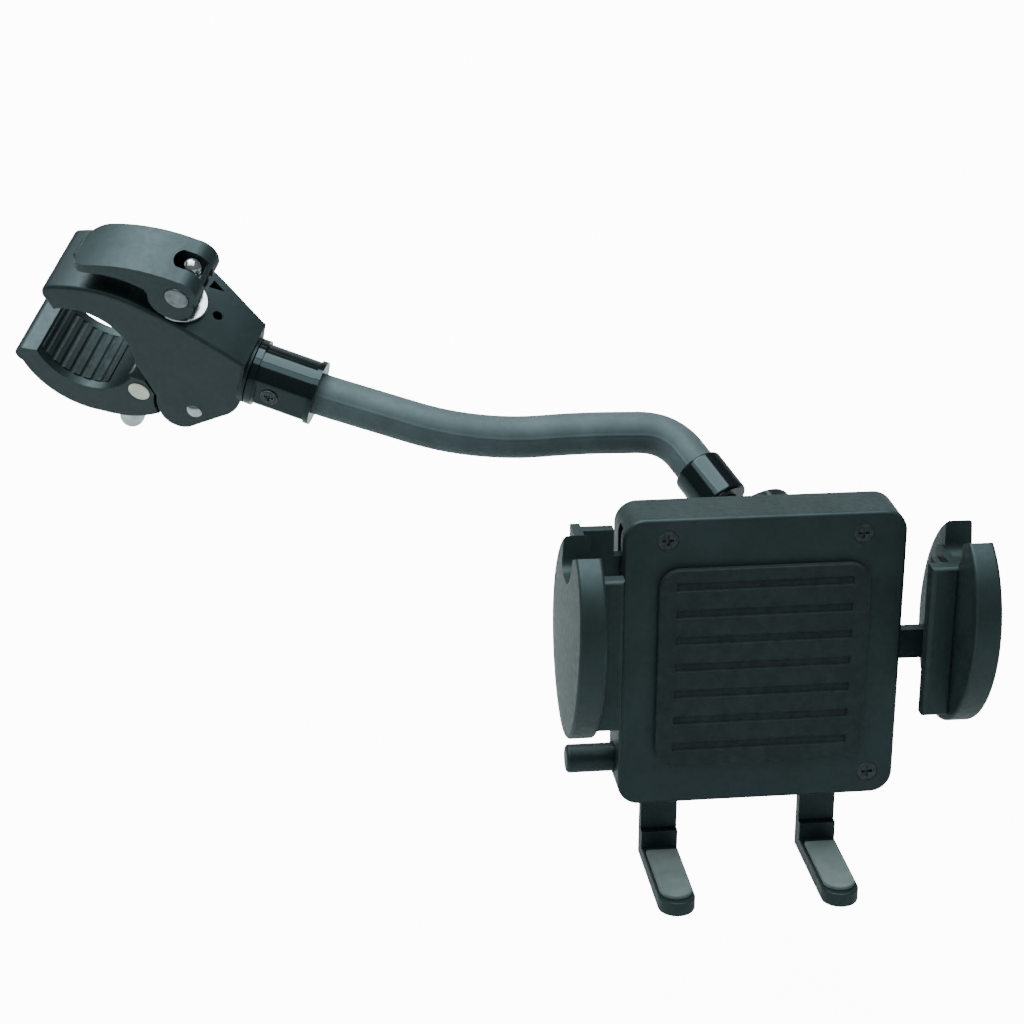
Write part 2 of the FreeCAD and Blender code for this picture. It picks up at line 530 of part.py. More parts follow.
def rack_teeth(x0, count, z, up):
    """Straight rack teeth from x0 on, standing from z up or down."""
    pitch = 2 * pi * PINION_R / PINION_TEETH
    teeth = []
    for i in range(count):
        x = x0 + i * pitch
        root, tip, depth = 1.05, 0.5, 1.0
        steps = [(x - root, z - up * 0.9), (x + root, z - up * 0.9), (x + tip, z + up * depth),
                 (x - tip, z + up * depth)]
        teeth.append(outline(steps, ARM_Y0, ARM_Y1))
    return teeth


def arm_z(side):
    """Lower edge of a jaw's arm: the left one runs over the pinion and the right one under it."""
    if side < 0:
        return PINION_Z + PINION_R + 1.0
    return PINION_Z - PINION_R - 1.0 - ARM_H


def span(side, near, far, y0, z0, y1, z1):
    """Box between two distances from the middle of the holder, on one side of it."""
    return box(min(side * near, side * far), y0, z0, max(side * near, side * far), y1, z1)


def oval(side, near, far):
    """Leaning oval prism between two distances from the middle of the holder."""
    lean = radians(OVAL_LEAN)
    centre = V(side * near, OVAL_Y, OVAL_Z)
    along = V(0, -sin(lean), cos(lean)) * OVAL_LONG
    across = V(0, cos(lean), sin(lean)) * OVAL_SHORT
    edge = Part.Ellipse(centre + along, centre + across, centre).toShape()
    return Part.Face(Part.Wire([edge])).extrude(V(side * (far - near), 0, 0))


def notch_room(side):
    """Space over the disc: behind its forward tip, along the notch, up the web's front and over its top."""
    steps = [(-22.0, 6.6), (-9.5, 1.3),
             ((-7.6, -4.4), (-4.6, NOTCH_Z)),
             (NOTCH_Y - 3.0, NOTCH_Z),
             ((NOTCH_Y - 0.88, NOTCH_Z + 0.88), (NOTCH_Y, NOTCH_Z + 3.0)),
             (NOTCH_Y, WEB_TOP), (30.0, WEB_TOP), (30.0, 20.0), (-22.0, 20.0)]
    room = outline(steps, -60, 60)
    room.rotate(V(0, 0, 0), V(0, 0, 1), 90)
    return room.common(span(side, DISC_IN, 60, -40, -40, 40, 40))


def make_jaw(side):
    """One jaw: crowned disc and lip that hold the phone's edge, on an arm with a rack inside the case."""
    name = {-1: "left", 1: "right"}[side]
    edge = PHONE_W / 2 + 0.2
    seat = edge + 1.5
    out = V(side, 0, 0)
    disc = oval(side, DISC_IN, DISC_CROWN + 1)
    rise = DISC_CROWN - DISC_RIM
    crown_r = (OVAL_LONG ** 2 + rise ** 2) / (2 * rise)
    disc = disc.common(ball(V(0, OVAL_Y, OVAL_Z) + out * (DISC_CROWN - crown_r), crown_r))
    disc = soften(disc, 0.8, lambda e: e.Length > 60).cut(notch_room(side))
    disc = soften(disc, 1.5, lambda e: e.BoundBox.ZMin > 0 and e.BoundBox.YMax < -12)
    front = -PHONE_T / 2 - 4.2
    lip = span(side, LIP_IN, DISC_IN + 0.5, front, LIP_LOW, front + 3.6, LIP_HIGH)
    lip = soften(lip, 1.2, on_face(front, 1))
    rest = span(side, seat, DISC_IN + 0.5, -PHONE_T / 2 - 1.6, LIP_LOW, PHONE_T / 2 + 1.6, LIP_HIGH)
    web_top = ARM_SHOULDER_Z if side < 0 else -8.0
    web = span(side, DISC_IN + 0.8, DISC_IN + 3.0, NOTCH_Y, -34.5, ARM_Y1 + 1.9, web_top)
    arm = span(side, -15, DISC_IN + 1.5, ARM_Y0, arm_z(side), ARM_Y1, arm_z(side) + ARM_H)
    jaw = disc.fuse([lip, rest, web, arm])
    pitch = 2 * pi * PINION_R / PINION_TEETH
    if side < 0:
        shoulder = span(side, CASE_W / 2 + 1.5, DISC_IN + 1.5, ARM_Y0, arm_z(side), ARM_Y1, ARM_SHOULDER_Z)
        jaw = jaw.fuse(shoulder)
        jaw = jaw.fuse(rack_teeth(-4.5 * pitch, 9, arm_z(side), -1))
    else:
        jaw = jaw.fuse(rack_teeth(-4.5 * pitch, 9, arm_z(side) + ARM_H, 1))
        for i in range(7):
            x = -14 + 3.0 * i
            ratchet = outline([(x, arm_z(side) - 0.1), (x + 2.2, arm_z(side) - 0.1), (x, arm_z(side) + 1.2)],
                              ARM_Y0 - 1, ARM_Y1 + 1)
            jaw = jaw.cut(ratchet)
    holder_part(name + "_jaw", max(jaw.removeSplitter().Solids, key=lambda s: s.Volume))

    pad = span(side, edge, seat, -PHONE_T / 2 + 0.6, LIP_LOW + 2, PHONE_T / 2 - 0.2, LIP_HIGH - 2)
    for i in range(9):
        z = LIP_LOW + 4.0 + 3.2 * i
        pad = pad.cut(span(side, edge - 0.1, edge + 0.5, -10, z, 10, z + 1.2))
    holder_part(name + "_jaw_pad", pad)


def make_pinion():
    """Pinion between the two racks, so that the jaws move together."""
    pinion = rod(V(0, ARM_Y0 - 0.3, PINION_Z), V(0, ARM_Y1 + 0.2, PINION_Z), PINION_R - 1.15)
    pitch = 360 / PINION_TEETH
    tip = PINION_R + 0.75
    teeth = []
    for i in range(PINION_TEETH):
        flank = [(-1.0, 4.4), (1.0, 4.4), (0.62, PINION_R), (0.3, tip), (-0.3, tip), (-0.62, PINION_R)]
        tooth = outline(flank, ARM_Y0 - 0.3, ARM_Y1 + 0.2)
        tooth.rotate(V(0, 0, 0), V(0, 1, 0), pitch * i)
        tooth.translate(V(0, 0, PINION_Z))
        teeth.append(tooth)
    pinion = pinion.fuse(teeth)
    pinion = pinion.cut(rod(V(0, 0, PINION_Z), V(0, 30, PINION_Z), 2.06))
    holder_part("pinion", pinion.removeSplitter())


def make_latch():
    """Release button at the left side and the pawl that it swings out of the right jaw's ratchet."""
    half = CASE_W / 2
    inner = -half + WALL + 2.2
    button = rod(V(BUTTON_END, BUTTON_Y, BUTTON_Z), V(inner, BUTTON_Y, BUTTON_Z), BUTTON_R)
    button = soften(button, 0.9, lambda e: abs(e.BoundBox.XMax - BUTTON_END) < 0.1)
    flange = box(inner - 1.9, ARM_Y0, BUTTON_Z - 4.6, inner, FOOT_Y1, BUTTON_Z + 4.6)
    stem = box(-half + WALL + 1, ARM_Y0, BUTTON_Z - 2.5, PAWL.x - 4.9, FOOT_Y0 - 1.0, BUTTON_Z + 2.5)
    holder_part("release_button", button.fuse([flange, stem]).removeSplitter())
    pawl = outline([(PAWL.x - 4.5, -58.5), (PAWL.x - 1.5, -58.5), (PAWL.x + 3.2, -46), (PAWL.x + 2.6, -41),
                    (PAWL.x + 0.6, -35.0), (PAWL.x - 1.4, -35.8), (PAWL.x - 3.2, -43)], ARM_Y0 + 0.1, ARM_Y1)
    eye = rod(V(PAWL.x, ARM_Y0 + 0.1, PAWL.z), V(PAWL.x, ARM_Y1, PAWL.z), 3.4)
    pawl = pawl.fuse(eye).cut(rod(V(PAWL.x, 0, PAWL.z), V(PAWL.x, 30, PAWL.z), 1.56))
    holder_part("latch_pawl", pawl)


def make_foot(side):
    """Foot that slides out of the case's bottom, turns forward and cups the phone's lower edge."""
    name = {-1: "left", 1: "right"}[side]
    middle = FOOT_X[side]
    x0, x1 = middle - FOOT_W / 2, middle + FOOT_W / 2
    low = FOOT_REST_Z - 4.7
    top = FOOT_REST_Z - FOOT_PAD_T
    front = -13.4
    shank = box(x0, FOOT_Y0, low + 2, x1, FOOT_Y1, -38)
    sole = box(x0, front + FOOT_W / 2, low, x1, FOOT_Y1, top)
    toe_at = V(middle, front + FOOT_W / 2, low)
    toe = rod(toe_at, V(toe_at.x, toe_at.y, top), FOOT_W / 2)
    foot = shank.fuse([sole, toe])
    heel = box(x0, FOOT_Y0 - 1.6, top - 1, x1, FOOT_Y0 + 0.5, FOOT_REST_Z + 3)
    foot = foot.fuse(heel).removeSplitter()
    foot = soften(foot, 0.6, lambda e: e.BoundBox.ZMax < low + 0.01)
    foot = soften(foot, 0.4, lambda e: on_face(top, 2)(e) and e.BoundBox.YMin < 10)
    stop = box(x0 - 1.5, FOOT_Y0, -41, x1 + 1.5, FOOT_Y1, -38)
    foot = foot.fuse(stop)
    holder_part(name + "_foot", foot)
    pad_half = FOOT_W / 2 - 0.6
    pad_at = V(middle, front + FOOT_W / 2 + 1.0, top)
    pad = box(middle - pad_half, pad_at.y, top, middle + pad_half, 10.0, FOOT_REST_Z)
    pad = pad.fuse(rod(pad_at, V(pad_at.x, pad_at.y, FOOT_REST_Z), pad_half)).removeSplitter()
    holder_part(name + "_foot_pad", soften(pad, 0.35, on_face(FOOT_REST_Z, 2)))


make_clamp_body()
make_clamp_pads()
make_lower_jaw()
make_clamp_metal()
make_lever()
make_collar()
make_neck()
make_ball_joint()
make_case()
for jaw_side in (-1, 1):
    make_jaw(jaw_side)
make_pinion()
make_latch()
for foot_side in (-1, 1):
    make_foot(foot_side)

os.makedirs("parts", exist_ok=True)
for node, shape in parts.items():
    if not shape.isValid():
        print("not valid:", node)
    print(f"{node:18s} solids {len(shape.Solids)} volume {shape.Volume:9.1f}")
    shape.exportStep("parts/" + node + ".step")
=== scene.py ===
"""Looks of the handlebar phone mount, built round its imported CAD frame. Metres, in the row's frame."""

import json
import math

import bmesh
import bpy
from mathutils import Matrix, Vector


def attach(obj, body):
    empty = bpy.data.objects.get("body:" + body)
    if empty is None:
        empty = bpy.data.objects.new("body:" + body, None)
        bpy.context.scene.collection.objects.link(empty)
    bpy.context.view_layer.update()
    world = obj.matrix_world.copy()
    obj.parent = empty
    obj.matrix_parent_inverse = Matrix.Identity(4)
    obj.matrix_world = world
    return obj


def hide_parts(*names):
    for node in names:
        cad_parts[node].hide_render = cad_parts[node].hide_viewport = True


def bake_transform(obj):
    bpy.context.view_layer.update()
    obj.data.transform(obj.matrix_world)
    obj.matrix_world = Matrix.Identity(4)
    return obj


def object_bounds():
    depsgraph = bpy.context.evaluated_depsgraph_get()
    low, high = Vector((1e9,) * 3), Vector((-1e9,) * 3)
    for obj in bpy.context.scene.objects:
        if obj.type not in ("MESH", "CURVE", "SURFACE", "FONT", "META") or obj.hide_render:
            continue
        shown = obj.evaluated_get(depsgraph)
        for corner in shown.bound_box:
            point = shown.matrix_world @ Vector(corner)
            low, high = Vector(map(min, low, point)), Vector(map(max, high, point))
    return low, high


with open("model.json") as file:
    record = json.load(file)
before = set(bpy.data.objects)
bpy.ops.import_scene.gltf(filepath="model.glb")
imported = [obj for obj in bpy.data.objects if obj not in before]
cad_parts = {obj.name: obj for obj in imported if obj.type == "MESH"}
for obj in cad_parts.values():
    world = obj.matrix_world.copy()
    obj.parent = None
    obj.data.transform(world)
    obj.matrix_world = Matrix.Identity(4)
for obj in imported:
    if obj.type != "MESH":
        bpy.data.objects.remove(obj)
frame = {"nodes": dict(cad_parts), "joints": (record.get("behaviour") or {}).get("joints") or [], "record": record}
CAD_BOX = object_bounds()
NODES = frame["nodes"]
RECORD = frame["record"]
JOINTS = {joint["name"]: joint for joint in frame["joints"]}
BODY_OF = {node: body for body, nodes in RECORD["behaviour"]["bodies"].items() for node in nodes}
SLOT_OF = {part["node"]: part["material_slot"] for part in RECORD["subparts"]}
MM = 0.001

# ---- camera and stage --------------------------------------------------------------------------------
CAMERA_AT = Vector((0.0312, -0.5703, 0.1668))
CAMERA_TURN = (69.17, -0.26, -6.88)       # pitch, roll and heading, degrees
CAMERA_LENS, CAMERA_SENSOR = 85.6, 36.0   # mm
FLOOR_DROP = 0.030                        # floor under the lowest foot
STAGE_BACK = 0.9                          # start of the backdrop's curve behind the object
STAGE_CURVE_R = 0.5
STAGE_CURVE_STEPS = 16
STAGE_FRONT = -2.5
STAGE_HEIGHT = 3.0
STAGE_SIDES = (-3.0, 3.2)
PAPER_GLOW = 12.0                         # added to the paper, and the surround's brightness, for the camera
SURROUND = 0.2                            # brightness of the surround that lights the object
COOL_LIGHT = (0.88, 0.98, 1.0)            # colour of the soft lights
# Name, place and target from the object's centre, size, watts, and the full angle that it reaches over.
LIGHTS = (
    ("ceiling", (-0.05, -0.05, 0.9), (-0.05, -0.05, 0.0), (0.9, 0.6), 9, 180),
    ("behind", (-0.1, 1.0, 1.2), (0.0, 0.9, 0.0), (1.8, 1.0), 9, 70),
    ("backdrop_light", (0.0, 0.8, 1.3), (0.0, 1.6, 0.3), (2.4, 0.6), 5, 120),
    ("strip", (-0.1, -0.5, 0.8), (0.0, 0.0, 0.0), (1.2, 0.32), 3.0, 180),
    ("left", (-1.2, 0.35, 0.6), (0.0, 0.0, 0.0), (0.8, 0.8), 1.0, 180),
)

# ---- gooseneck ---------------------------------------------------------------------------------------
SLEEVE_R = 5.0 * MM
SLEEVE_RIDGE = 0.15 * MM                  # height of the moulding line along the sleeve
RIDGE_ANGLE = 76.0                        # where it runs round the sleeve, degrees
RIDGE_HALF_WIDTH = 4.0                    # degrees round the sleeve
RING = 144                                # points round the sleeve
SLEEVE_HARD_ANGLE = 50                    # its edges sharper than this stay hard in the shading, degrees
NECK_SAG = Vector((97.3, -27.7, -22.5)) * MM
NECK_CORNER = Vector((135.3, -27.0, -22.5)) * MM
FERRULE_START = 20.6 * MM                 # the sleeve's end, from the ball's centre
SLEEVE_START = 15.0 * MM                  # the sleeve's start, inside the collar, from the swivel's place
SLEEVE_OUT = 19.0 * MM                    # where it is clear of the collar and may bend
CORNER_REACH = 14.0 * MM                  # how far before and after a corner the route is rounded
CORNER_SHARE = 0.48                       # most of a run that one corner's rounding takes
CORNER_STEPS = 10
ROUTE_STEP = 1.2 * MM

# ---- clamp and edges ---------------------------------------------------------------------------------
DOWEL_HOLE_R = 3.75 * MM                  # the bolt's hole in the cross-dowel, which tilts with the jaw
DRILL_LENGTH = 0.12
ROUND_STEPS = 3                           # faces across a rounded edge
ROUND_ANGLE = 30                          # edges sharper than this are rounded, degrees
HARD_ANGLE = 32                           # edges sharper than this stay hard in the shading, degrees
WELD_GAP = 0.002 * MM                     # points nearer than this are one point
FLAT_ANGLE = 0.6                          # faces that meet at less than this are one face, degrees
NORMAL_WEIGHT = 60                        # how far large faces lead the shading of small ones, of 100


# ---- materials -----------------------------------------------------------------------------------------
COOL_GLOSS = (0.72, 0.97, 1.0, 1.0)       # tint of the plastics' and rubber's reflections


def new_material(name):
    material = bpy.data.materials.new(name)
    material.use_nodes = True
    return material, material.node_tree, material.node_tree.nodes["Principled BSDF"]


def noise(tree, scale, detail=3.0, stretch=(1, 1, 1)):
    """Noise over the piece's own coordinates, in cycles a metre."""
    place = tree.nodes.new("ShaderNodeTexCoord")
    mapping = tree.nodes.new("ShaderNodeMapping")
    mapping.inputs["Scale"].default_value = stretch
    texture = tree.nodes.new("ShaderNodeTexNoise")
    texture.inputs["Scale"].default_value = scale
    texture.inputs["Detail"].default_value = detail
    tree.links.new(place.outputs["Object"], mapping.inputs["Vector"])
    tree.links.new(mapping.outputs["Vector"], texture.inputs["Vector"])
    return texture.outputs["Fac"]


def spread(tree, source, low, high, out_low, out_high):
    """Map a value's band from low to high on to another band, clamped."""
    node = tree.nodes.new("ShaderNodeMapRange")
    node.inputs["From Min"].default_value = low
    node.inputs["From Max"].default_value = high
    node.inputs["To Min"].default_value = out_low
    node.inputs["To Max"].default_value = out_high
    tree.links.new(source, node.inputs["Value"])
    return node.outputs["Result"]


def mix_colour(tree, share, first, second):
    """Mix of two colours; each is a colour or another node's output."""
    node = tree.nodes.new("ShaderNodeMix")
    node.data_type = "RGBA"
    tree.links.new(share, node.inputs["Factor"])
    for value, socket in ((first, node.inputs["A"]), (second, node.inputs["B"])):
        if isinstance(value, tuple):
            socket.default_value = (*value, 1.0)
        else:
            tree.links.new(value, socket)
    return node.outputs["Result"]


def add_bumps(tree, shader, layers):
    """Chain of bump nodes; each layer is (height source, distance in metres, strength)."""
    normal = None
    for height, distance, strength in layers:
        bump = tree.nodes.new("ShaderNodeBump")
        bump.inputs["Distance"].default_value = distance
        bump.inputs["Strength"].default_value = strength
        tree.links.new(height, bump.inputs["Height"])
        if normal is not None:
            tree.links.new(normal, bump.inputs["Normal"])
        normal = bump.outputs["Normal"]
    tree.links.new(normal, shader.inputs["Normal"])


def worn_edges(tree, colour, edge_colour):
    """Paler colour on the rounded edges of a finished piece, broken up by noise."""
    edge = tree.nodes.new("ShaderNodeAttribute")
    edge.attribute_name = "rounded_edge"
    patchy = spread(tree, noise(tree, 330, 4), 0.38, 0.62, 0.15, 0.85)
    both = tree.nodes.new("ShaderNodeMath")
    both.operation = "MULTIPLY"
    tree.links.new(edge.outputs["Fac"], both.inputs[0])
    tree.links.new(patchy, both.inputs[1])
    return mix_colour(tree, both.outputs["Value"], colour, edge_colour)


def moulded_plastic(name, dark, light, rough, grain, edge):
    """Fine-grained moulded plastic: cloudy colour, spark-eroded grain, slightly polished edges."""
    material, tree, shader = new_material(name)
    clouds = spread(tree, noise(tree, 90, 4), 0.35, 0.65, 0.0, 1.0)
    colour = mix_colour(tree, clouds, dark, light)
    tree.links.new(worn_edges(tree, colour, edge), shader.inputs["Base Color"])
    tree.links.new(spread(tree, noise(tree, 700, 2), 0.3, 0.7, rough - 0.04, rough + 0.05),
                   shader.inputs["Roughness"])
    shader.inputs["Specular Tint"].default_value = COOL_GLOSS
    add_bumps(tree, shader, [(noise(tree, 5200, 2), 0.00003, grain),
                             (noise(tree, 1400, 2), 0.00003, grain * 0.4)])
    return material


def sleeve_rubber():
    """Matte extruded rubber with fine lines along it and a dusty bloom."""
    material, tree, shader = new_material("sleeve_rubber")
    bloom = spread(tree, noise(tree, 160, 5), 0.4, 0.75, 0.0, 1.0)
    colour = mix_colour(tree, bloom, (0.072, 0.095, 0.099), (0.094, 0.122, 0.127))
    tree.links.new(colour, shader.inputs["Base Color"])
    tree.links.new(spread(tree, noise(tree, 900, 3), 0.3, 0.7, 0.52, 0.64), shader.inputs["Roughness"])
    shader.inputs["Specular Tint"].default_value = COOL_GLOSS
    shader.inputs["Sheen Weight"].default_value = 0.08
    shader.inputs["Sheen Roughness"].default_value = 0.4
    drawn = noise(tree, 1600, 2, (0.06, 1, 1))
    add_bumps(tree, shader, [(drawn, 0.00003, 0.35), (noise(tree, 4200, 2), 0.00002, 0.4)])
    return material


def pad_rubber(name, dark, light):
    """Soft rubber, slightly shiny where it is rubbed."""
    material, tree, shader = new_material(name)
    rubbed = spread(tree, noise(tree, 220, 4), 0.35, 0.75, 0.0, 1.0)
    tree.links.new(mix_colour(tree, rubbed, dark, light), shader.inputs["Base Color"])
    tree.links.new(spread(tree, noise(tree, 500, 3), 0.3, 0.7, 0.62, 0.8), shader.inputs["Roughness"])
    shader.inputs["Specular Tint"].default_value = COOL_GLOSS
    add_bumps(tree, shader, [(noise(tree, 3600, 3), 0.00004, 0.5)])
    return material


def gloss_black():
    """Glossy black moulding with faint swirls and a little dust."""
    material, tree, shader = new_material("collar_black")
    dust = spread(tree, noise(tree, 1300, 5), 0.62, 0.8, 0.0, 1.0)
    tree.links.new(mix_colour(tree, dust, (0.004, 0.006, 0.007), (0.012, 0.016, 0.017)),
                   shader.inputs["Base Color"])
    tree.links.new(spread(tree, noise(tree, 300, 4), 0.35, 0.7, 0.07, 0.12), shader.inputs["Roughness"])
    shader.inputs["Specular Tint"].default_value = COOL_GLOSS
    add_bumps(tree, shader, [(noise(tree, 420, 2), 0.00003, 0.05), (noise(tree, 2400, 2), 0.00001, 0.08)])
    return material


def plated_metal(name, dark, light, rough, brushed):
    """Plated metal: uneven tone, fine scratches and a varying polish."""
    material, tree, shader = new_material(name)
    shader.inputs["Metallic"].default_value = 1.0
    tone = spread(tree, noise(tree, 420, 5), 0.35, 0.7, 0.0, 1.0)
    tree.links.new(mix_colour(tree, tone, dark, light), shader.inputs["Base Color"])
    tree.links.new(spread(tree, noise(tree, 1500, 4), 0.3, 0.75, rough * 0.7, rough * 1.5),
                   shader.inputs["Roughness"])
    scratches = noise(tree, 2600, 3, (1, 0.08, 0.3))
    add_bumps(tree, shader, [(scratches, 0.00001, brushed), (noise(tree, 900, 2), 0.00002, brushed * 0.5)])
    return material


def black_steel():
    """Black-oxide steel, a little bare on its edges."""
    material, tree, shader = new_material("black_steel")
    shader.inputs["Metallic"].default_value = 0.8
    clouds = spread(tree, noise(tree, 800, 4), 0.35, 0.7, 0.0, 1.0)
    colour = mix_colour(tree, clouds, (0.040, 0.048, 0.051), (0.075, 0.087, 0.090))
    tree.links.new(worn_edges(tree, colour, (0.30, 0.33, 0.34)), shader.inputs["Base Color"])
    tree.links.new(spread(tree, noise(tree, 1200, 3), 0.3, 0.7, 0.3, 0.5), shader.inputs["Roughness"])
    add_bumps(tree, shader, [(noise(tree, 3000, 3), 0.00002, 0.3)])
    return material


def stage_paper():
    """Pale seamless paper, which the camera sees overexposed and the object sees as it is lit."""
    material, tree, shader = new_material("stage_paper")
    fibres = spread(tree, noise(tree, 60, 4), 0.3, 0.7, 0.0, 1.0)
    tree.links.new(mix_colour(tree, fibres, (0.52, 0.53, 0.53), (0.56, 0.57, 0.57)),
                   shader.inputs["Base Color"])
    shader.inputs["Roughness"].default_value = 0.9
    shader.inputs["Emission Color"].default_value = (1.0, 1.0, 1.0, 1.0)
    seen = tree.nodes.new("ShaderNodeLightPath").outputs["Is Camera Ray"]
    tree.links.new(spread(tree, seen, 0.0, 1.0, 0.0, PAPER_GLOW), shader.inputs["Emission Strength"])
    return material


MATERIALS = {
    "black_plastic": moulded_plastic("black_plastic", (0.009, 0.014, 0.015), (0.013, 0.020, 0.021),
                                     0.42, 0.35, (0.034, 0.045, 0.046)),
    "lever_plastic": moulded_plastic("lever_plastic", (0.013, 0.020, 0.021), (0.018, 0.027, 0.028),
                                     0.46, 0.25, (0.034, 0.044, 0.045)),
    "jaw_plastic": moulded_plastic("jaw_plastic", (0.014, 0.021, 0.021), (0.021, 0.031, 0.031), 0.46, 0.3,
                                   (0.034, 0.044, 0.044)),
    "sleeve_rubber": sleeve_rubber(),
    "pad_rubber": pad_rubber("pad_rubber", (0.017, 0.021, 0.022), (0.024, 0.029, 0.030)),
    # Paler grey rubber for the foot pads: partly their own colour and partly painted light on their tops, which
    # the case shades from the ceiling light.
    "foot_rubber_painted_light": pad_rubber("foot_rubber_painted_light", (0.170, 0.205, 0.200), (0.215, 0.255, 0.248)),
    "collar_black": gloss_black(),
    "zinc": plated_metal("zinc", (0.45, 0.48, 0.48), (0.66, 0.69, 0.69), 0.12, 0.2),
    # Darker copy of the zinc for the lever's barrel: painted shade, standing for the dark that its end reflects.
    "zinc_painted_shade": plated_metal("zinc_painted_shade", (0.15, 0.17, 0.18), (0.26, 0.29, 0.30), 0.12, 0.2),
    "brushed_zinc": plated_metal("brushed_zinc", (0.62, 0.62, 0.52), (0.80, 0.80, 0.70), 0.42, 0.5),
    "black_steel": black_steel(),
}
# Pieces that are paler or darker than the rest of their slot: the foot pads partly by painted light, the lever's
# barrel by painted shade.
LOOK_OF = {"left_foot_pad": "foot_rubber_painted_light", "right_foot_pad": "foot_rubber_painted_light", "lever_barrel": "zinc_painted_shade"}


# ---- pieces --------------------------------------------------------------------------------------------
def add_object(name, mesh):
    piece = bpy.data.objects.new(name, mesh)
    bpy.context.scene.collection.objects.link(piece)
    return piece


def bake_modifiers(piece):
    """Replace the piece's mesh by what its modifiers make of it."""
    graph = bpy.context.evaluated_depsgraph_get()
    mesh = bpy.data.meshes.new_from_object(piece.evaluated_get(graph), depsgraph=graph)
    piece.modifiers.clear()
    piece.data = mesh


def smooth_by_angle(mesh, degrees):
    """Smooth shading, with a hard line wherever two faces meet at more than the angle."""
    work = bmesh.new()
    work.from_mesh(mesh)
    limit = math.radians(degrees)
    for face in work.faces:
        face.smooth = True
    for edge in work.edges:
        edge.smooth = len(edge.link_faces) == 2 and edge.calc_face_angle(math.pi) < limit
    work.to_mesh(mesh)
    work.free()


def dress(piece, slot, look=None):
    """Give the piece its material, which is its slot's own unless it has another look."""
    piece.data.materials.clear()
    piece.data.materials.append(MATERIALS[look or slot])


def mark_edges(mesh):
    """Turn the second material number, which the rounding wrote, into a value per face."""
    values = mesh.attributes.new("rounded_edge", "FLOAT", "FACE").data
    for face in mesh.polygons:
        values[face.index].value = face.material_index
        face.material_index = 0


def widen_hole(mesh, at, along, radius):
    """The mesh with a wider round hole cut through it, along a line."""
    turn = along.to_track_quat("Z", "Y").to_matrix().to_4x4()
    work = bmesh.new()
    bmesh.ops.create_cone(work, cap_ends=True, segments=72, radius1=radius, radius2=radius,
                          depth=DRILL_LENGTH, matrix=Matrix.Translation(at) @ turn)
    drill_mesh = bpy.data.meshes.new("drill")
    work.to_mesh(drill_mesh)
    work.free()
    drill = add_object("drill", drill_mesh)
    holder = add_object("drilled", mesh)
    cut = holder.modifiers.new("hole", "BOOLEAN")
    cut.operation = "DIFFERENCE"
    cut.solver = "EXACT"
    cut.object = drill
    bake_modifiers(holder)
    mesh = holder.data
    bpy.data.objects.remove(holder)
    bpy.data.objects.remove(drill)
    return mesh


def refine(node, width):
    """Finished copy of a CAD node: its hard edges rounded and its shading evened out."""
    mesh = NODES[node].data.copy()
    if node == "cross_dowel":
        bolt = JOINTS["bolt_slide"]
        mesh = widen_hole(mesh, Vector(JOINTS["lever_swing"]["pos_m"]), Vector(bolt["axis"]), DOWEL_HOLE_R)
    work = bmesh.new()
    work.from_mesh(mesh)
    bmesh.ops.remove_doubles(work, verts=work.verts, dist=WELD_GAP)
    bmesh.ops.dissolve_limit(work, angle_limit=math.radians(FLAT_ANGLE), verts=work.verts, edges=work.edges)
    work.to_mesh(mesh)
    work.free()
    piece = add_object(node + "_finished", mesh)
    bevel = piece.modifiers.new("rounding", "BEVEL")
    bevel.width = width
    bevel.segments = ROUND_STEPS
    bevel.limit_method = "ANGLE"
    bevel.angle_limit = math.radians(ROUND_ANGLE)
    bevel.use_clamp_overlap = True
    bevel.harden_normals = True
    mesh.materials.clear()
    mesh.materials.append(MATERIALS[SLOT_OF[node]])
    mesh.materials.append(MATERIALS[SLOT_OF[node]])
    bevel.material = 1
    bake_modifiers(piece)
    mark_edges(piece.data)
    smooth_by_angle(piece.data, HARD_ANGLE)
    even = piece.modifiers.new("even_normals", "WEIGHTED_NORMAL")
    even.keep_sharp = True
    even.weight = NORMAL_WEIGHT
    bake_modifiers(piece)
    dress(piece, SLOT_OF[node], LOOK_OF.get(node))
    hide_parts(node)
    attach(piece, BODY_OF[node])


def rounded_route(points, reach):
    """Points of a route whose corners are rounded, each corner over a reach before and after it."""
    route = [points[0].copy()]
    for before, corner, after in zip(points, points[1:], points[2:]):
        cut = min(reach, CORNER_SHARE * (before - corner).length, CORNER_SHARE * (after - corner).length)
        start = corner + (before - corner).normalized() * cut
        end = corner + (after - corner).normalized() * cut
        for i in range(CORNER_STEPS + 1):
            t = i / CORNER_STEPS
            route.append(start * (1 - t) ** 2 + corner * 2 * t * (1 - t) + end * t ** 2)
    route.append(points[-1].copy())
    return route


def even_route(route, step):
    """The same route with its points evenly spaced."""
    lengths = [0.0]
    for a, b in zip(route, route[1:]):
        lengths.append(lengths[-1] + (b - a).length)
    count = max(2, round(lengths[-1] / step))
    even = []
    segment = 0
    for i in range(count + 1):
        want = lengths[-1] * i / count
        while segment < len(route) - 2 and lengths[segment + 1] < want:
            segment += 1
        share = (want - lengths[segment]) / (lengths[segment + 1] - lengths[segment])
        even.append(route[segment].lerp(route[segment + 1], share))
    return even


def sleeve_profile(angle):
    """Radius of the sleeve at an angle round it: round, with the moulding line as a low ridge."""
    off = abs((math.degrees(angle) - RIDGE_ANGLE + 180) % 360 - 180)
    return SLEEVE_R + SLEEVE_RIDGE * max(0.0, 1 - off / RIDGE_HALF_WIDTH)


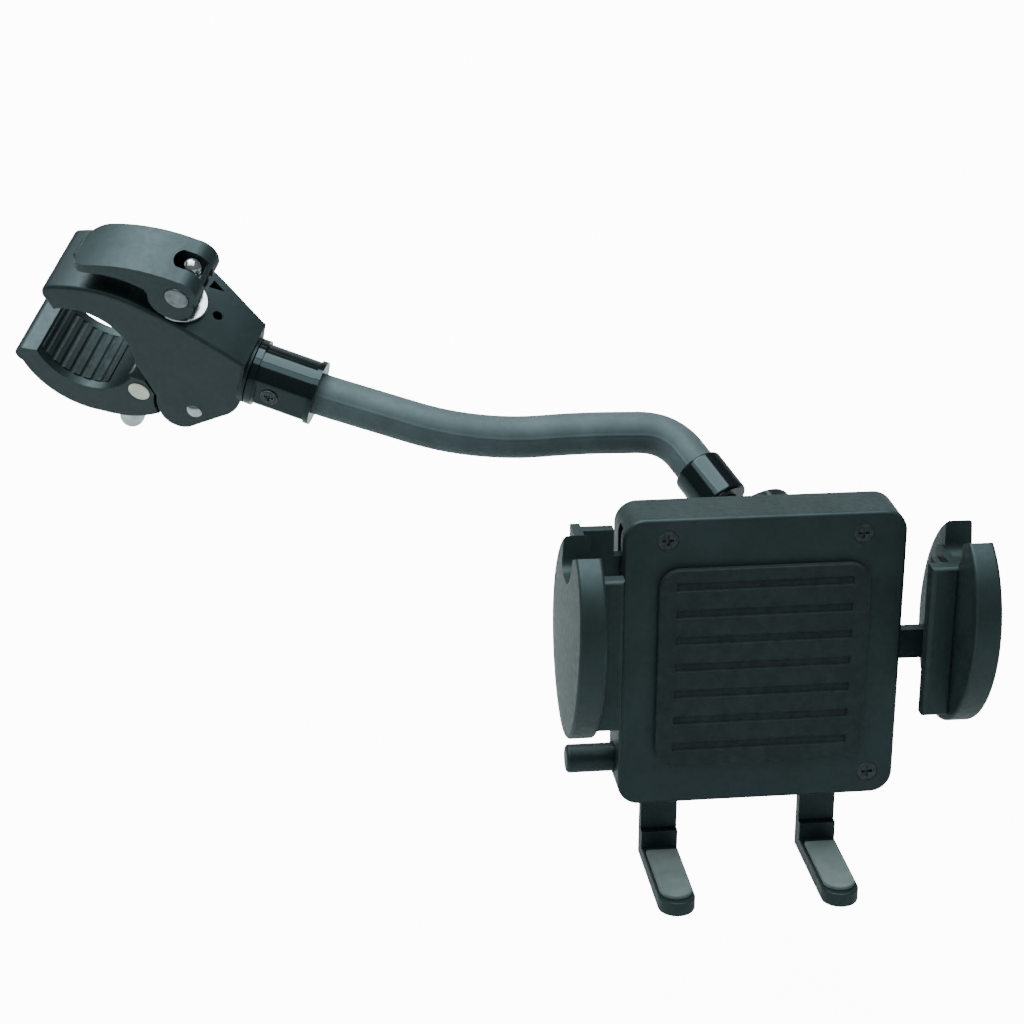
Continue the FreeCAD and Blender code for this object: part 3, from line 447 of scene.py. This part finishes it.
def sweep(name, route, start_normal):
    """Closed tube along a route, its section turned as little as it can be."""
    work = bmesh.new()
    normal = start_normal
    rings = []
    for i, point in enumerate(route):
        ahead = (route[min(i + 1, len(route) - 1)] - route[max(i - 1, 0)]).normalized()
        normal = (normal - ahead * normal.dot(ahead)).normalized()
        side = ahead.cross(normal)
        ring = []
        for k in range(RING):
            angle = math.tau * k / RING
            radius = sleeve_profile(angle)
            ring.append(work.verts.new(point + (normal * math.cos(angle) + side * math.sin(angle)) * radius))
        rings.append(ring)
    for near, far in zip(rings, rings[1:]):
        for k in range(RING):
            work.faces.new((near[k], near[(k + 1) % RING], far[(k + 1) % RING], far[k]))
    work.faces.new(list(reversed(rings[0])))
    work.faces.new(rings[-1])
    bmesh.ops.recalc_face_normals(work, faces=work.faces)
    mesh = bpy.data.meshes.new(name)
    work.to_mesh(mesh)
    work.free()
    smooth_by_angle(mesh, SLEEVE_HARD_ANGLE)
    return add_object(name, mesh), normal


def make_sleeves():
    """The gooseneck's rubber sleeve in two lengths, each curved round one of its two joints."""
    swivel = JOINTS["arm_swivel"]
    out = Vector(swivel["axis"])
    bend_a = Vector(JOINTS["neck_bend_a"]["pos_m"])
    bend_b = Vector(JOINTS["neck_bend_b"]["pos_m"])
    ball = Vector(JOINTS["holder_tilt"]["pos_m"])
    stud = Vector(JOINTS["nut_turn"]["axis"])
    neck_start = Vector(swivel["pos_m"]) + out * SLEEVE_START
    neck_out = Vector(swivel["pos_m"]) + out * SLEEVE_OUT
    points = [neck_start, neck_out, bend_a, NECK_SAG, bend_b, NECK_CORNER, ball + stud * FERRULE_START]
    route = even_route(rounded_route(points, CORNER_REACH), ROUTE_STEP)
    middle = min(range(len(route)), key=lambda i: (route[i] - NECK_SAG).length)
    first, normal = sweep("sleeve_root", route[:middle + 1], Vector((0, 0, 1)))
    second, _ = sweep("sleeve_tip", route[middle:], normal)
    dress(first, "sleeve_rubber")
    dress(second, "sleeve_rubber")
    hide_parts("neck_root", "neck_mid")
    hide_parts("neck_tip")
    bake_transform(first)
    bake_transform(second)


def make_finished_nodes():
    """Finished copies of the moulded and machined CAD nodes, with the edge rounding each would have."""
    rounding = {
        "clamp_body": 0.45, "lower_jaw": 0.45, "cam_lever": 0.35, "hinge_pin": 0.15, "cross_dowel": 0.3,
        "clamp_washer": 0.12, "tension_bolt": 0.1, "cap_nut": 0.2, "lever_barrel": 0.5, "arm_collar": 0.2,
        "collar_screw": 0.08, "end_ferrule": 0.3, "ball_stud": 0.2, "ball_seat": 0.15, "ball_socket": 0.4,
        "lock_nut": 0.35, "swivel_plate": 0.4, "case_back": 0.35, "case_front": 0.35, "case_screws": 0.08,
        "left_jaw": 0.4, "right_jaw": 0.4, "pinion": 0.15, "release_button": 0.4, "latch_pawl": 0.2,
        "left_foot": 0.5, "right_foot": 0.5, "upper_jaw_pad": 0.2, "lower_jaw_pad": 0.2, "case_pad": 0.25,
        "left_jaw_pad": 0.15, "right_jaw_pad": 0.15, "left_foot_pad": 0.25, "right_foot_pad": 0.25,
    }
    for node, width in rounding.items():
        refine(node, width * MM)


# ---- stage, lights and camera ----------------------------------------------------------------------------
def make_stage(low):
    """Pale floor that curves up into a backdrop."""
    floor_z = low.z - FLOOR_DROP
    profile = [(STAGE_FRONT, floor_z), (STAGE_BACK, floor_z)]
    for i in range(1, STAGE_CURVE_STEPS + 1):
        angle = math.pi / 2 * i / STAGE_CURVE_STEPS
        profile.append((STAGE_BACK + STAGE_CURVE_R * math.sin(angle),
                        floor_z + STAGE_CURVE_R * (1 - math.cos(angle))))
    profile.append((STAGE_BACK + STAGE_CURVE_R, floor_z + STAGE_HEIGHT))
    work = bmesh.new()
    lines = []
    for x in STAGE_SIDES:
        lines.append([work.verts.new((x, y, z)) for y, z in profile])
    for i in range(len(profile) - 1):
        face = work.faces.new((lines[0][i], lines[1][i], lines[1][i + 1], lines[0][i + 1]))
        face.smooth = True
    mesh = bpy.data.meshes.new("stage")
    work.to_mesh(mesh)
    work.free()
    stage = add_object("stage", mesh)
    stage.data.materials.append(stage_paper())


def add_light(name, at, target, size, watts, cone):
    """Rectangular soft light; the cone is the full angle that it reaches over, in degrees."""
    light = bpy.data.lights.new(name, "AREA")
    light.shape = "RECTANGLE"
    light.size, light.size_y = size
    light.energy = watts
    light.color = COOL_LIGHT
    light.spread = math.radians(cone)
    holder = bpy.data.objects.new(name, light)
    holder.location = at
    holder.rotation_euler = (target - at).to_track_quat("-Z", "Y").to_euler()
    bpy.context.scene.collection.objects.link(holder)


def make_lights(centre):
    """The soft lights, and a surround that is dim but for the camera."""
    world = bpy.data.worlds.new("surround")
    world.use_nodes = True
    tree = world.node_tree
    background = tree.nodes["Background"]
    background.inputs["Color"].default_value = (*COOL_LIGHT, 1.0)
    seen = tree.nodes.new("ShaderNodeLightPath").outputs["Is Camera Ray"]
    tree.links.new(spread(tree, seen, 0.0, 1.0, SURROUND, PAPER_GLOW), background.inputs["Strength"])
    bpy.context.scene.world = world
    for name, at, target, size, watts, cone in LIGHTS:
        add_light(name, centre + Vector(at), centre + Vector(target), size, watts, cone)


def make_camera():
    data = bpy.data.cameras.new("camera")
    data.sensor_width = CAMERA_SENSOR
    data.lens = CAMERA_LENS
    data.clip_start = 0.01
    camera = bpy.data.objects.new("camera", data)
    camera.location = CAMERA_AT
    camera.rotation_euler = [math.radians(a) for a in CAMERA_TURN]
    bpy.context.scene.collection.objects.link(camera)
    bpy.context.scene.camera = camera


low, high = CAD_BOX
make_camera()
make_stage(low)
make_lights((low + high) / 2)
make_sleeves()
make_finished_nodes()
